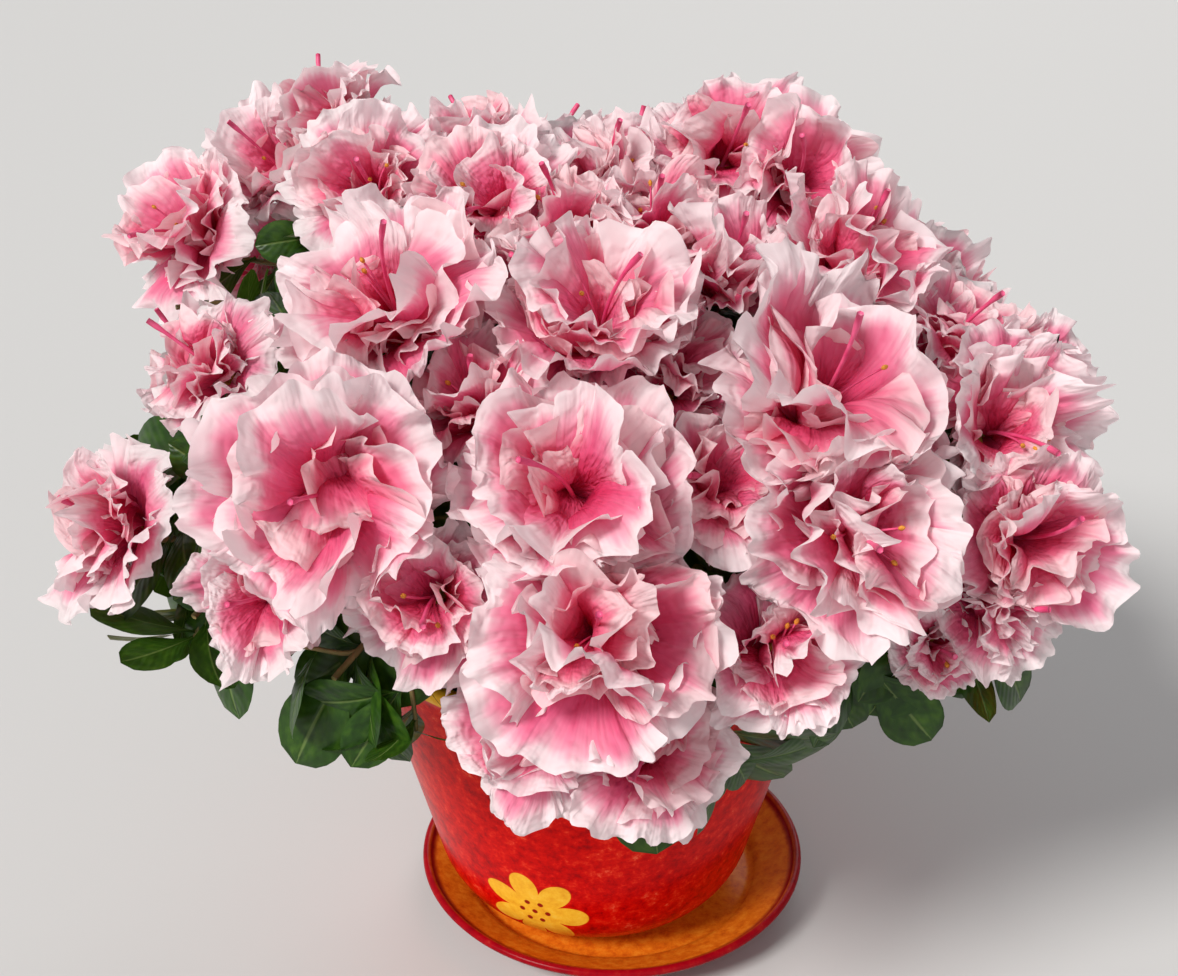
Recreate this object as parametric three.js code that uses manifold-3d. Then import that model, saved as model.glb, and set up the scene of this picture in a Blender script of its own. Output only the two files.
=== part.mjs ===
// Potted azalea in full flower, in a flared glazed pot that stands in its saucer.
// Units are millimetres and +Z is up. The side seen first faces -Y, and the origin lies where the pot's
// axis meets the saucer's flat underside. Azimuths are in degrees: 0 is the front and 90 the right.
import * as THREE from "three";
import { mergeVertices } from "three/addons/utils/BufferGeometryUtils.js";
import Module from "manifold-3d";

const wasm = await Module();
wasm.setup();

// Clearance between neighbouring solids.
const GAP = 0.3;

// Saucer: a flat dish with a flared wall and a low foot. The pot stands a little to one side of its centre.
const SAUCER = { rim: 70, foot: 56, height: 14, wall: 4, floor: 3.7, lip: 1.5, aside: [6.5, 1.5] };

// Pot: a rounded foot, a straight flared wall and a plain band under a rolled lip.
const POT = {
  foot: 30, belly: 57.5, footRound: 28, shoulder: 79.2, shoulderHeight: 109.6, rim: 80.6, height: 116,
  wall: 5, lip: 2.4,
};
const ROUND_SIDES = 36;

// Compost: what fills the pot, up to a little under the rim.
const COMPOST = { below: 15, dip: 1.5 };

// Trunk: a short woody stem that flares at its foot and leans a little.
const TRUNK = { foot: 15, neck: 9.5, top: 7.5, flare: 12, height: 46, lean: [3, -2], sides: 12 };

// Boughs leave the trunk between these heights above the compost, the steeper ones higher up.
const BOUGH = { low: 14, high: 40, thick: 2.6, thin: 1.5, sides: 5, steps: 4 };

// Crown: the blooms' hearts lie on a rounded form whose broad top tilts towards the front.
const CROWN = { centre: [0, 5, 175], half: [150, 121, 76], tilt: 25, power: 2.8 };

// Each bloom faces away from the point of its group: some turn forward to the light, from a point far behind
// the crown, some look up and out, and those of the back look backward.
const FACED_FROM = { forward: [0, 230, 70], upward: [0, 20, 55], backward: [0, -20, 100] };

// Bloom: a half section through its outer and inner corollas, in parts of half its width, as reach from
// the axis and height. Each of the five lobes is a few columns wide, with a notch beside it.
const BLOOM = {
  section: [[0, -0.24], [1, 0.26], [0.5, 0.1], [0.6, 0.56], [0, 0]],
  lobes: 5, columns: 15, notch: 0.24, ruffle: 0.12,
};

// Twigs: the stem that a truss shares, whose fork lies this deep, and the stalk of each bloom, which ends
// a little to one side of the bloom's heart.
const STEM = { length: 18, depth: 34, thick: 1.9, sides: 5 };
const STALK = { thick: 1.5, aside: 0.24 };

// Leaves: blades widest past their middle, in a whorl under each bloom and at each leafy tip. The spread is
// the angle between a leaf and the whorl's axis, and apart is the step between leaves along the twig.
const LEAF = {
  length: 37, width: 21, thick: 1, droop: 0.12, widest: 0.14, apart: 1.8, root: 0.5,
  variety: 0.3,
};
const WHORL = { leaves: 3, spread: 72, below: 8 };
const TIP = { leaves: 5, spread: 62, inset: 16, tries: 4 };

// Trusses: one name for each mass of foliage, and one row for each of its blooms, with the azimuth and
// elevation from the crown's centre, the width, and how far it stands out of the crown's form.
const TRUSSES = {
  forward: {
    upper_left: [[-112, 19, 74, 4], [-124, 28, 68, 2]],
    upper_middle: [[-87, 50, 62, 0], [-63, 66, 64, 0]],
    top_right: [[102, 65, 66, 2], [91, 53, 60, 0]],
    right_front: [[31, 7, 74, 0]],
    far_right: [[55, 13, 66, 0], [67, 16, 48, -2]],
    right_low: [[50, 3, 60, 2], [47, -4, 44, -4], [42, -9, 34, -8]],
    front_left: [[-34, 11, 84, 2], [-40, -2, 48, -6], [-21, -1, 54, -8]],
  },
  upward: {
    top_back_left: [[-131, 34, 66, 8]],
    top_middle: [[-151, 40, 60, -14], [-170, 39, 60, -14], [-122, 62, 58, -6]],
    centre_left: [[-44, 36, 84, 2], [-23, 24, 58, -10]],
    centre: [[1, 41, 76, 2], [-20, 52, 56, -4], [-21, 70, 58, -2]],
    right_upper: [[64, 39, 68, 2], [44, 49, 62, -3], [37, 69, 62, -4], [143, 86, 56, -6]],
    right: [[33, 21, 88, 4], [64, 23, 56, -4]],
    front: [[-3, 13, 80, 2], [18, 12, 60, -12], [17, 31, 54, -10]],
    front_low: [[0, -2, 78, 6], [7, -21, 60, 0], [-7, -18, 54, -2]],
    front_right_low: [[22, -8, 52, -6]],
    far_left: [[-57, 2, 58, 3], [-60, 19, 48, 0]],
  },
  backward: {
    left_side: [[-95, 7, 60, -26], [-116, -4, 62, -6]],
    back_left: [[-129, 11, 72, 0], [-150, -1, 68, 0]],
    back_left_top: [[-148, 21, 66, -2]],
    back_top: [[151, 73, 60, -14], [149, 41, 62, -14]],
    back: [[-176, 13, 72, 0], [169, 25, 66, -2]],
    back_right_top: [[134, 30, 60, -16], [143, 20, 68, -2]],
    right_side: [[115, 15, 62, -24], [117, 2, 68, -4]],
    right_side_low: [[90, -4, 62, -8], [101, 7, 60, -18]],
    back_right: [[156, 4, 70, 0], [137, -2, 66, 0]],
  },
};

// Leafy tips with no bloom, which fill the skirt and the gaps: azimuth, elevation and stand.
const LEAFY_TIPS = [
  [-62, -9, 4], [-47, -5, 16], [-38, -7, 16], [-31, -10, 16], [-24, -12, 14], [-58, 9, 4], [-100, 14, 10],
  [-78, 26, -8], [-78, -6, -8], [-100, -12, -4], [-127, -12, 0], [-150, -15, 0], [-176, -8, 0],
  [162, -11, 0], [140, -14, 0], [112, -9, 0], [90, -13, -4], [66, -8, 0], [48, -9, 14], [33, -13, -6],
  [16, -28, 14], [-160, 10, -4], [124, 22, -8], [97, 8, -10], [-80, 42, -8], [132, 53, -14],
  [-178, 40, -2], [80, 6, -12], [84, 20, -12], [-112, 34, -12],
];

const DEGREE = Math.PI / 180;
const UP = new THREE.Vector3(0, 0, 1);
const vector = (values) => new THREE.Vector3(...values);

// Seeded random numbers between 0 and 1.
function randomFrom(seed) {
  let state = seed;
  return () => {
    state = (Math.imul(state, 1664525) + 1013904223) >>> 0;
    return state / 4294967296;
  };
}

// Geometry helpers: three.js shapes become solids that can be joined and cut, and back again.
function toSolid(geometry) {
  const bare = geometry.clone();
  bare.deleteAttribute("normal");
  bare.deleteAttribute("uv");
  const merged = mergeVertices(bare, 1e-4);
  const corners = Array.from(merged.index.array);
  const kept = [];
  for (let i = 0; i < corners.length; i += 3) {
    const [a, b, c] = corners.slice(i, i + 3);
    if (a !== b && b !== c && c !== a) kept.push(a, b, c);
  }
  return new wasm.Manifold(new wasm.Mesh({
    numProp: 3,
    vertProperties: new Float32Array(merged.attributes.position.array),
    triVerts: new Uint32Array(kept),
  }));
}

function toGeometry(solid) {
  const mesh = solid.getMesh();
  const geometry = new THREE.BufferGeometry();
  geometry.setAttribute("position", new THREE.BufferAttribute(mesh.vertProperties, 3));
  geometry.setIndex(new THREE.BufferAttribute(mesh.triVerts, 1));
  geometry.computeVertexNormals();
  return geometry;
}

// Joins solids into one body. A loose scrap is dropped, and so is the skin of a sealed hollow.
function fuse(solids) {
  const bodies = wasm.Manifold.union(solids).decompose();
  return bodies.reduce((best, body) => (body.volume() > best.volume() ? body : best));
}

// Moves every vertex of a geometry by a function of its place.
function sculpt(geometry, move) {
  const place = geometry.attributes.position;
  const point = new THREE.Vector3();
  for (let i = 0; i < place.count; i += 1) {
    point.fromBufferAttribute(place, i);
    move(point);
    place.setXYZ(i, point.x, point.y, point.z);
  }
  return geometry;
}

// A turned piece about the Z axis from its half section, as pairs of radius and height.
function turned(section, sides) {
  const points = section.map(([radius, height]) => new THREE.Vector2(radius, height));
  return new THREE.LatheGeometry(points, sides).rotateX(Math.PI / 2);
}

// Points of an arc in a half section, from one angle to another in degrees.
function arc(radius, height, size, from, to, steps) {
  const points = [];
  for (let i = 0; i <= steps; i += 1) {
    const angle = (from + (to - from) * i / steps) * DEGREE;
    points.push([radius + size * Math.cos(angle), height + size * Math.sin(angle)]);
  }
  return points;
}

// A straight rod between two points that tapers evenly.
function rod(from, to, thickFrom, thickTo, sides = 3) {
  const along = new THREE.Vector3().subVectors(to, from);
  const geometry = new THREE.CylinderGeometry(thickTo, thickFrom, along.length(), sides);
  geometry.translate(0, along.length() / 2, 0);
  const turn = new THREE.Quaternion().setFromUnitVectors(vector([0, 1, 0]), along.clone().normalize());
  return geometry.applyQuaternion(turn).translate(from.x, from.y, from.z);
}

// A tapering limb along a curve.
function limb(curve, thickFrom, thickTo, sides, steps) {
  const geometry = new THREE.CylinderGeometry(thickTo, thickFrom, 1, sides, steps).translate(0, 0.5, 0);
  return sculpt(geometry, (point) => {
    const centre = curve.getPoint(THREE.MathUtils.clamp(point.y, 0, 1));
    const along = curve.getTangent(THREE.MathUtils.clamp(point.y, 0, 1));
    const side = new THREE.Vector3().crossVectors(along, UP).normalize();
    const over = new THREE.Vector3().crossVectors(side, along);
    point.copy(centre.addScaledVector(side, point.x).addScaledVector(over, point.z));
  });
}

// Crown form: direction by azimuth and elevation, and the place on the form in that direction.
function direction(azimuth, elevation) {
  const level = Math.cos(elevation * DEGREE);
  return vector([
    Math.sin(azimuth * DEGREE) * level, -Math.cos(azimuth * DEGREE) * level, Math.sin(elevation * DEGREE),
  ]);
}

function crownPoint(azimuth, elevation, stand) {
  const way = direction(azimuth, elevation);
  const level = way.clone().applyAxisAngle(vector([1, 0, 0]), -CROWN.tilt * DEGREE).toArray();
  const share = level.map((part, i) => Math.abs(part / CROWN.half[i]) ** CROWN.power);
  const reach = (share[0] + share[1] + share[2]) ** (-1 / CROWN.power);
  return vector(CROWN.centre).addScaledVector(way, reach + stand);
}

// Heights of the pieces that stand on each other.
const potBase = SAUCER.floor + GAP;
const compostTop = potBase + POT.height - COMPOST.below;
const trunkFoot = compostTop + GAP;

function saucerSection() {
  const { rim, foot, height, wall, floor, lip } = SAUCER;
  return [
    [0, 0], [foot - 1, 0], [foot, 1], [rim - 1, height - 3], ...arc(rim - lip, height - lip, lip, 0, 180, 3),
    [foot - wall + 3, floor + 1.5], [foot - wall, floor], [0, floor],
  ];
}

function potSection() {
  const { foot, belly, footRound, shoulder, shoulderHeight, rim, height, wall, lip } = POT;
  return [
    [0, 0], [foot, 0], ...arc(belly - footRound, footRound, footRound, -72, -15, 4),
    [shoulder, shoulderHeight], ...arc(rim - lip, height - lip, lip, 0, 180, 3),
    [shoulder - wall, shoulderHeight], [belly - wall, footRound],
    ...arc(belly - footRound, footRound, footRound - wall, -25, -75, 2), [foot - wall, wall], [0, wall],
  ];
}

// The compost follows the inside of the pot at the usual clearance, and dips a little to its edge.
function compostSection() {
  const { foot, belly, footRound, shoulder, shoulderHeight, wall } = POT;
  const top = POT.height - COMPOST.below;
  const flare = (shoulder - belly) / (shoulderHeight - footRound);
  const edge = belly - wall + flare * (top - COMPOST.dip - footRound);
  return [
    [0, wall + GAP], [foot - wall - GAP, wall + GAP],
    ...arc(belly - footRound, footRound, footRound - wall - GAP * 2, -75, -25, 2),
    [belly - wall - GAP * 2, footRound], [edge - GAP * 2, top - COMPOST.dip], [TRUNK.foot + 6, top], [0, top],
  ];
}

function trunkGeometry(swell) {
  const { foot, neck, top, flare, height, lean, sides } = TRUNK;
  const section = [
    [0, 0], [foot + swell, 0], [foot * 0.8 + swell, flare * 0.3], [neck + swell, flare],
    [(neck + top) / 2 + swell, height * 0.6], [top + swell, height], [top * 0.5, height + 3 + swell],
    [0, height + 4 + swell],
  ];
  return sculpt(turned(section, sides), (point) => {
    const ridge = 1 + 0.06 * Math.cos(3 * Math.atan2(point.y, point.x));
    const rise = point.z / height;
    point.set(point.x * ridge + lean[0] * rise, point.y * ridge + lean[1] * rise, point.z + trunkFoot);
  });
}

// Trusses: each bloom's heart, the way that it faces, and the stem that the truss shares.
function layTruss(name, rows, facedFrom) {
  const blooms = rows.map(([azimuth, elevation, width, stand]) => {
    const heart = crownPoint(azimuth, elevation, stand);
    const face = heart.clone().sub(vector(facedFrom)).normalize();
    const side = new THREE.Vector3().crossVectors(face, UP).normalize();
    const over = new THREE.Vector3().crossVectors(side, face);
    return { heart, half: width / 2, face, side, over, elevation };
  });
  const mean = (key) => blooms.reduce((sum, bloom) => sum.add(bloom[key]), vector([0, 0, 0]))
    .divideScalar(blooms.length);
  const middle = mean("heart");
  const elevation = blooms.reduce((sum, bloom) => sum + bloom.elevation, 0) / blooms.length;
  const rise = THREE.MathUtils.clamp((elevation + 20) / 80, 0, 1);
  const leave = vector([0, 0, trunkFoot + THREE.MathUtils.lerp(BOUGH.low, BOUGH.high, rise)]);
  const inward = new THREE.Vector3().subVectors(leave, middle).normalize();
  const fork = middle.clone().addScaledVector(inward, STEM.depth);
  const along = mean("face").normalize().sub(inward).normalize();
  const foot = fork.clone().addScaledVector(along, -STEM.length);
  return { name, blooms, fork, foot, along, leave };
}

// A bloom keeps to its side of the plane between its heart and each other bloom's heart.
function fences(bloom, blooms) {
  return blooms.filter((other) => other !== bloom).map((other) => {
    const across = new THREE.Vector3().subVectors(other.heart, bloom.heart);
    const share = bloom.half / (bloom.half + other.half);
    return { across: across.clone().normalize(), limit: across.length() * share - GAP };
  });
}

// One bloom: a lathe cut into lobes, ruffled, and pressed in where it meets a neighbour.
function bloomGeometry(bloom, walls, random) {
  const { section, lobes, columns, notch, ruffle } = BLOOM;
  const step = 2 * Math.PI / columns;
  const ruffles = section.map(() => Array.from({ length: columns }, () => (random() * 2 - 1) * ruffle));
  const shape = (ring, column) => {
    const [reach, height] = section[ring];
    const lobe = (column + 1) % (columns / lobes) === 0 ? 1 - notch : 1;
    const out = reach * bloom.half * (lobe + ruffles[ring][column] * 0.5);
    const lift = (height + ruffles[ring][column] * reach) * bloom.half;
    return bloom.side.clone().multiplyScalar(Math.sin(column * step) * out)
      .addScaledVector(bloom.over, Math.cos(column * step) * out)
      .addScaledVector(bloom.face, lift);
  };
  const pressed = Array.from({ length: columns }, (_, column) => {
    const shares = section.flatMap((_, ring) => {
      const place = shape(ring, column);
      return walls.map((wall) => wall.limit / Math.max(place.dot(wall.across), wall.limit));
    });
    return Math.min(1, ...shares);
  });
  const rings = section.map((_, ring) => new THREE.Vector2(section[ring][0], ring));
  return sculpt(new THREE.LatheGeometry(rings, columns), (point) => {
    const angle = Math.atan2(point.x, point.z) + 2 * Math.PI;
    const onAxis = Math.hypot(point.x, point.z) < 1e-6;
    const column = onAxis ? 0 : Math.round(angle / step) % columns;
    const place = shape(Math.round(point.y), column);
    point.copy(place.multiplyScalar(onAxis ? 1 : pressed[column]).add(bloom.heart));
  });
}

// One leaf of eight faces from its root along a direction, with its upper face turned to a side.
function leaf(root, along, upper, size, swell = 0) {
  const { length, width, thick, droop, widest } = LEAF;
  const across = new THREE.Vector3().crossVectors(along, upper).normalize();
  const over = new THREE.Vector3().crossVectors(across, along);
  return sculpt(new THREE.OctahedronGeometry(1), (point) => {
    const run = (point.y + 1) / 2 + (1 - Math.abs(point.y)) * widest;
    const out = point.x * (width * size / 2 + swell);
    const lift = point.z * (thick / 2 + swell) - droop * length * size * run * run;
    point.copy(root).addScaledVector(along, run * length * size).addScaledVector(across, out)
      .addScaledVector(over, lift);
  });
}

// Directions of a whorl's leaves, spread evenly about an axis.
function whorl(axis, count, spread, random) {
  const side = new THREE.Vector3().crossVectors(axis, Math.abs(axis.z) < 0.9 ? UP : vector([1, 0, 0]))
    .normalize();
  const over = new THREE.Vector3().crossVectors(axis, side);
  const start = random() * 360;
  return Array.from({ length: count }, (_, i) => {
    const turn = (start + 360 * (i + random() * 0.4) / count) * DEGREE;
    const open = (spread + (random() - 0.5) * 16) * DEGREE;
    return axis.clone().multiplyScalar(Math.cos(open))
      .addScaledVector(side, Math.sin(open) * Math.cos(turn))
      .addScaledVector(over, Math.sin(open) * Math.sin(turn));
  });
}

// Space that is already taken.
class Space {
  constructor() {
    this.taken = [];
  }

  add(solid) {
    this.taken.push({ solid, box: solid.boundingBox() });
  }

  isFree(solid, carrier) {
    const box = solid.boundingBox();
    return this.taken.every((other) => {
      if (other.solid === carrier) return true;
      const apart = [0, 1, 2].some((i) => box.min[i] > other.box.max[i] || box.max[i] < other.box.min[i]);
      return apart || solid.intersect(other.solid).isEmpty();
    });
  }
}

// Puts leaves one above the other on a twig, up to its tip, wherever the space is free.
function addWhorl(truss, space, twig, tip, axis, form, random) {
  whorl(axis, form.leaves, form.spread, random).forEach((along, i) => {
    const size = 1 + LEAF.variety * (random() - 0.5);
    const start = tip.clone().addScaledVector(twig.along, -LEAF.apart * (i + LEAF.root));
    start.addScaledVector(along, -LEAF.root);
    if (space.isFree(toSolid(leaf(start, along, axis, size * 1.02, GAP)), twig.solid)) {
      const blade = toSolid(leaf(start, along, axis, size));
      truss.solids.push(blade);
      space.add(blade);
    }
  });
}

// A twig to a leafy tip, from the nearest stem that has a clear way to it.
function addLeafyTip(trusses, space, [azimuth, elevation, stand], random) {
  const goal = crownPoint(azimuth, elevation, stand - TIP.inset);
  const near = trusses.toSorted((a, b) => a.fork.distanceTo(goal) - b.fork.distanceTo(goal));
  for (const truss of near.slice(0, TIP.tries)) {
    const root = truss.foot.clone().lerp(truss.fork, 0.3 + 0.4 * random());
    const along = new THREE.Vector3().subVectors(goal, root).normalize();
    const clear = root.clone().addScaledVector(along, STEM.thick * 2);
    if (space.isFree(toSolid(rod(clear, goal, STALK.thick + GAP, STALK.thick + GAP)))) {
      const solid = toSolid(rod(root, goal, STALK.thick, STALK.thick));
      truss.solids.push(solid);
      space.add(solid);
      const axis = direction(azimuth, elevation).add(along).normalize();
      addWhorl(truss, space, { solid, along }, goal, axis, TIP, random);
      return;
    }
  }
}

// The plant: trunk, boughs, and trusses of blooms and leaves, each clear of the others.
function growPlant(space) {
  const random = randomFrom(7);
  const trunk = toSolid(trunkGeometry(0));
  const aroundTrunk = toSolid(trunkGeometry(GAP));
  space.add(trunk);
  const trusses = Object.entries(TRUSSES).flatMap(([part, group]) => (
    Object.entries(group).map(([name, rows]) => layTruss(name, rows, FACED_FROM[part]))
  ));

  const limbs = trusses.map((truss) => {
    const end = truss.foot.clone().addScaledVector(truss.along, -GAP);
    const bend = end.clone().addScaledVector(truss.along, -0.45 * end.distanceTo(truss.leave));
    const curve = new THREE.QuadraticBezierCurve3(truss.leave, bend, end);
    const { thick, thin, sides, steps } = BOUGH;
    const around = toSolid(limb(curve, thick + GAP, thin + GAP, sides, steps));
    return { name: `bough_${truss.name}`, solid: toSolid(limb(curve, thick, thin, sides, steps)), around };
  });
  limbs.forEach((one, i) => {
    const neighbours = limbs.slice(0, i).filter((other) => !other.around.intersect(one.solid).isEmpty());
    const cut = neighbours.reduce((rest, other) => rest.subtract(other.around), one.solid);
    one.solid = fuse([cut.subtract(aroundTrunk)]);
    space.add(one.solid);
  });

  const everyBloom = trusses.flatMap((truss) => truss.blooms);
  trusses.forEach((truss) => {
    truss.solids = [toSolid(rod(truss.foot, truss.fork, BOUGH.thin, STEM.thick, STEM.sides))];
    truss.blooms.forEach((bloom) => {
      const walls = fences(bloom, everyBloom);
      const base = bloom.heart.clone().addScaledVector(bloom.over, -STALK.aside * bloom.half);
      const along = new THREE.Vector3().subVectors(base, truss.fork).normalize();
      const root = truss.fork.clone().addScaledVector(along, -1);
      bloom.stalk = { base, along, solid: toSolid(rod(root, base, STALK.thick, STALK.thick)) };
      truss.solids.push(bloom.stalk.solid, toSolid(bloomGeometry(bloom, walls, random)));
    });
    truss.solids.forEach((solid) => space.add(solid));
  });

  LEAFY_TIPS.forEach((tip) => addLeafyTip(trusses, space, tip, random));
  trusses.forEach((truss) => truss.blooms.forEach((bloom) => {
    const tip = bloom.stalk.base.clone().addScaledVector(bloom.stalk.along, -WHORL.below);
    addWhorl(truss, space, bloom.stalk, tip, bloom.face, WHORL, random);
  }));
  return { trunk, limbs, trusses };
}

// Finishes.
const finish = (color, roughness) => new THREE.MeshStandardMaterial({ color, roughness, metalness: 0 });
const redGlaze = finish(0xc8281c, 0.25);
const crimsonGlaze = finish(0xa51428, 0.25);
const peat = finish(0x2b1d14, 0.95);
const bark = finish(0x6b5442, 0.85);
const petals = finish(0xf3a6bd, 0.6);

const plant = new THREE.Group();

function place(name, geometry, material, height = 0) {
  const mesh = new THREE.Mesh(geometry, material);
  mesh.name = name;
  mesh.position.z = height;
  plant.add(mesh);
  return mesh;
}

const space = new Space();
place("saucer", turned(saucerSection(), ROUND_SIDES).translate(...SAUCER.aside, 0), crimsonGlaze);
place("pot", turned(potSection(), ROUND_SIDES), redGlaze, potBase);
place("compost", turned(compostSection(), ROUND_SIDES / 2), peat, potBase);
space.add(toSolid(turned(potSection(), ROUND_SIDES).translate(0, 0, potBase)));

const { trunk, limbs, trusses } = growPlant(space);
place("trunk", toGeometry(trunk), bark);
limbs.forEach(({ name, solid }) => place(name, toGeometry(solid), bark));
trusses.forEach(({ name, solids }) => place(`truss_${name}`, toGeometry(fuse(solids)), petals));

export default plant;
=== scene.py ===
# Looks of the potted azalea. The trunk, boughs and masses of the frame are grown again, by the source's
# rule, as bark, twigs, leaves and petals. The plant is laid out in millimetres, and MM turns it into metres.
# Azimuths are in degrees: 0 is the front, which faces -Y, and 90 the right.
import bpy
import numpy as np
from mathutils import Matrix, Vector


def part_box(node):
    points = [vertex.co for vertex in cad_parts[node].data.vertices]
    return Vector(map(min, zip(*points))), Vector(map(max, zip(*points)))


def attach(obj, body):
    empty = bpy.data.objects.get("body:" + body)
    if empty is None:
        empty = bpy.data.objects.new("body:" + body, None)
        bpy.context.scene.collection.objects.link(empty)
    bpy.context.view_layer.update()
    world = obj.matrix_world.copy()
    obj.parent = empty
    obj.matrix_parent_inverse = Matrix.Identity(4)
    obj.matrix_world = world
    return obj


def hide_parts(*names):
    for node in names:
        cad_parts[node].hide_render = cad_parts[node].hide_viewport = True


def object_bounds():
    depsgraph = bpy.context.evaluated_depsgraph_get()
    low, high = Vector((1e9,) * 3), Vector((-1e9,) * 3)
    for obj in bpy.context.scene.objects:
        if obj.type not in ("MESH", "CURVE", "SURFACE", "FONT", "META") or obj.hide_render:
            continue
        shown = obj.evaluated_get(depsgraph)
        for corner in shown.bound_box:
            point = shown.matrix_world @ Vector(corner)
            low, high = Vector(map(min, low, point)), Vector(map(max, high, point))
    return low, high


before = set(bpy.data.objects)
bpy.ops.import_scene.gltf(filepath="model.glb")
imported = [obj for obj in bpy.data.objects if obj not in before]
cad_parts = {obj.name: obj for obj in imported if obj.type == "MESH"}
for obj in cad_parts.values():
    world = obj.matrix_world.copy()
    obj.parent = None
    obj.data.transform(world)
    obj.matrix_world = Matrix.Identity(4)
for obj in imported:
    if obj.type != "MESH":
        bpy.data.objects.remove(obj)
cad_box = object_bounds()

MM = 0.001
SEED = 11
DEGREE = np.pi / 180
UP = np.array([0.0, 0.0, 1.0])

# Pot and saucer: the section's measures, as the frame has them.
SAUCER = {"rim": 70, "foot": 56, "height": 14, "wall": 4, "floor": 3.7, "lip": 1.5, "aside": (6.5, 1.5)}
POT = {
    "foot": 30, "belly": 57.5, "foot_round": 28, "shoulder": 79.2, "shoulder_height": 109.6, "rim": 80.6,
    "height": 116, "wall": 5, "lip": 2.4,
}
ROUND_SIDES = 144

# Trunk and boughs, as in the source. A bough leaves the trunk between low and high, by its blooms' mean
# elevation, which starts from the lowest and runs over the span.
TRUNK = {"foot": 15, "neck": 9.5, "top": 7.5, "flare": 12, "height": 46, "lean": (3, -2)}
BOUGH = {"low": 14, "high": 40, "lowest": -20, "span": 80, "thick": 2.6, "thin": 1.5}

# Crown: the blooms' hearts lie on a rounded form whose broad top tilts towards the front.
CROWN = {"centre": (0, 5, 175), "half": (150, 121, 76), "tilt": 25, "power": 2.8}
FACED_FROM = {"forward": (0, 230, 70), "upward": (0, 20, 55), "backward": (0, -20, 100)}
# A mass's stem: its length, and how deep its fork lies below the blooms' hearts. Its blooms stand on stalks.
STEM = {"length": 18, "depth": 34, "thick": 1.9}
STALK_THICK = 1.0
# Calyx: how far below the bloom's heart it sits, in parts of the half width, and its scales.
CALYX = {"below": 0.24, "scales": 5, "length": 7, "spread": 40}

# Trusses: rows of a bloom's azimuth and elevation from the crown's centre, its width, and how far it stands
# out of the crown's form.
TRUSSES = {
    "forward": {
        "upper_left": [[-112, 19, 74, 4], [-124, 28, 68, 2]],
        "upper_middle": [[-87, 50, 62, 0], [-63, 66, 64, 0]],
        "top_right": [[102, 65, 66, 2], [91, 53, 60, 0]],
        "right_front": [[31, 7, 74, 0]],
        "far_right": [[55, 13, 66, 0], [67, 16, 48, -2]],
        "right_low": [[50, 3, 60, 2], [47, -4, 44, -4], [42, -9, 34, -8]],
        "front_left": [[-34, 11, 84, 2], [-40, -2, 48, -6], [-21, -1, 54, -8]],
    },
    "upward": {
        "top_back_left": [[-131, 34, 66, 8]],
        "top_middle": [[-151, 40, 60, -14], [-170, 39, 60, -14], [-122, 62, 58, -6]],
        "centre_left": [[-44, 36, 84, 2], [-23, 24, 58, -10]],
        "centre": [[1, 41, 76, 2], [-20, 52, 56, -4], [-21, 70, 58, -2]],
        "right_upper": [[64, 39, 68, 2], [44, 49, 62, -3], [37, 69, 62, -4], [143, 86, 56, -6]],
        "right": [[33, 21, 88, 4], [64, 23, 56, -4]],
        "front": [[-3, 13, 80, 2], [18, 12, 60, -12], [17, 31, 54, -10]],
        "front_low": [[0, -2, 78, 6], [7, -21, 60, 0], [-7, -18, 54, -2]],
        "front_right_low": [[22, -8, 52, -6]],
        "far_left": [[-57, 2, 58, 3], [-60, 19, 48, 0]],
    },
    "backward": {
        "left_side": [[-95, 7, 60, -26], [-116, -4, 62, -6]],
        "back_left": [[-129, 11, 72, 0], [-150, -1, 68, 0]],
        "back_left_top": [[-148, 21, 66, -2]],
        "back_top": [[151, 73, 60, -14], [149, 41, 62, -14]],
        "back": [[-176, 13, 72, 0], [169, 25, 66, -2]],
        "back_right_top": [[134, 30, 60, -16], [143, 20, 68, -2]],
        "right_side": [[115, 15, 62, -24], [117, 2, 68, -4]],
        "right_side_low": [[90, -4, 62, -8], [101, 7, 60, -18]],
        "back_right": [[156, 4, 70, 0], [137, -2, 66, 0]],
    },
}
# Leafy tips with no bloom, which fill the skirt and the gaps: azimuth, elevation and stand.
LEAFY_TIPS = [
    [-62, -9, 4], [-47, -5, 16], [-38, -7, 16], [-31, -10, 16], [-24, -12, 14], [-58, 9, 4],
    [-100, 14, 10], [-78, 26, -8], [-78, -6, -8], [-100, -12, -4], [-127, -12, 0], [-150, -15, 0],
    [-176, -8, 0], [162, -11, 0], [140, -14, 0], [112, -9, 0], [90, -13, -4], [66, -8, 0], [48, -9, 14],
    [33, -13, -6], [16, -28, 14], [-160, 10, -4], [124, 22, -8], [97, 8, -10], [-80, 42, -8],
    [132, 53, -14], [-178, 40, -2], [80, 6, -12], [84, 20, -12], [-112, 34, -12],
]

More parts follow.
